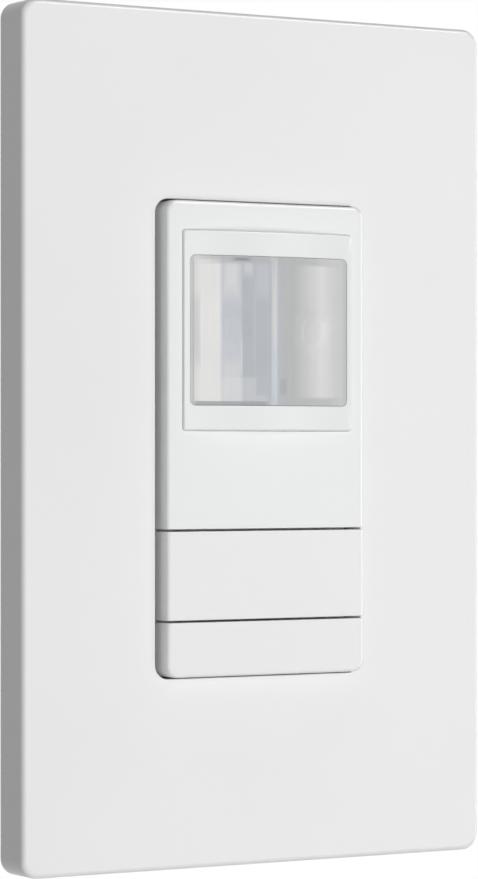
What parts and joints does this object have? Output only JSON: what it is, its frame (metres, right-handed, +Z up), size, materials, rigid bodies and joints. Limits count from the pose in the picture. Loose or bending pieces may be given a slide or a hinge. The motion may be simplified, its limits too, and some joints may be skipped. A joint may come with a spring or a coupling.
{
  "type": "motion sensor light switch",
  "caption": "White one-gang wall switch with a bowed motion-sensor lens, a wide push button, a narrow lower key and a screwless clip-on cover plate.",
  "frame": {"origin": "midway between the two box screws, on the wall plane that the cover's rim and the back of the strap lie in", "axes": "+Z up, +X to the viewer's right, +Y into the wall; the front faces -Y"},
  "size_m": [0.0746, 0.0423, 0.119],
  "materials": {
    "white_cover": "fine satin moulded thermoplastic",
    "white_fascia": "satin moulded thermoplastic",
    "white_key": "satin moulded thermoplastic",
    "white_moulding": "plain moulded thermoplastic",
    "milky_lens": "translucent milky polyethylene with fine concentric grooves",
    "zinc_strap": "bright zinc plated sheet steel",
    "zinc_screw": "bright zinc plated steel",
    "nickel_can": "nickel plated drawn can",
    "dark_filter": "coated silicon infrared filter",
    "circuit_board": "green solder mask on glass epoxy",
    "red_diode": "diffused red epoxy",
    "pale_cell": "clear epoxy over a resistive track",
    "black_moulding": "black moulded thermoplastic",
    "gilt_pin": "plated brass",
    "relay_shell": "blue moulded thermoplastic",
    "copper_winding": "enamelled copper wire",
    "soft_iron": "nickel flashed soft iron",
    "yellow_box": "moulded box with epoxy fill",
    "sleeved_can": "aluminium can in a printed-free dark sleeve",
    "blue_epoxy": "dipped epoxy coat",
    "charcoal_housing": "charcoal moulded thermoplastic, spark-eroded texture",
    "black_bush": "soft black bush"
  },
  "bodies": {
    "switch": {"cover_plate": "white_cover", "sub_plate": "white_moulding", "sub_plate_screws": "zinc_screw", "strap": "zinc_strap", "box_screws": "zinc_screw", "front_housing": "white_fascia", "lens_frame": "white_fascia", "fresnel_lens": "milky_lens", "sensor_cup": "white_moulding", "detector_can": "nickel_can", "detector_window": "dark_filter", "detector_base": "nickel_can", "sensor_board": "circuit_board", "status_light": "red_diode", "daylight_cell": "pale_cell", "control_chip": "black_moulding", "on_off_switch": "black_moulding", "lower_switch": "black_moulding", "board_pins": "gilt_pin", "power_board": "circuit_board", "relay_base": "black_moulding", "relay_cover": "relay_shell", "relay_coil": "copper_winding", "relay_core": "soft_iron", "relay_contact": "gilt_pin", "film_capacitor": "yellow_box", "smoothing_capacitor": "sleeved_can", "surge_protector": "blue_epoxy", "rear_housing": "charcoal_housing", "housing_screws": "zinc_screw", "lead_bushes": "black_bush"},
    "on_off_button": {"on_off_button": "white_key"},
    "on_off_plunger": {"on_off_plunger": "black_moulding"},
    "lower_key": {"lower_key": "white_key"},
    "lower_plunger": {"lower_plunger": "black_moulding"},
    "relay_armature": {"relay_armature": "soft_iron"}
  },
  "joints": [
    {"name": "on_off_press", "type": "slide", "parent": "switch", "child": "on_off_button", "axis": [0, 1, 0], "range_m": [0, 0.0008], "stiffness_N_per_m": 1500},
    {"name": "on_off_plunger_slide", "type": "slide", "parent": "switch", "child": "on_off_plunger", "axis": [0, 1, 0], "range_m": [0, 0.0008]},
    {"name": "lower_key_press", "type": "slide", "parent": "switch", "child": "lower_key", "axis": [0, 1, 0], "range_m": [0, 0.0008], "stiffness_N_per_m": 1500},
    {"name": "lower_plunger_slide", "type": "slide", "parent": "switch", "child": "lower_plunger", "axis": [0, 1, 0], "range_m": [0, 0.0008]},
    {"name": "relay_pull", "type": "hinge", "parent": "switch", "child": "relay_armature", "pos_m": [-0.0085, 0.0106, -0.0069], "axis": [1, 0, 0], "range_deg": [0, 2.5], "stiffness_Nm_per_rad": 0.005}
  ],
  "couplings": [
    {"joint": "on_off_plunger_slide", "follows": "on_off_press", "ratio": 1},
    {"joint": "lower_plunger_slide", "follows": "lower_key_press", "ratio": 1}
  ]
}
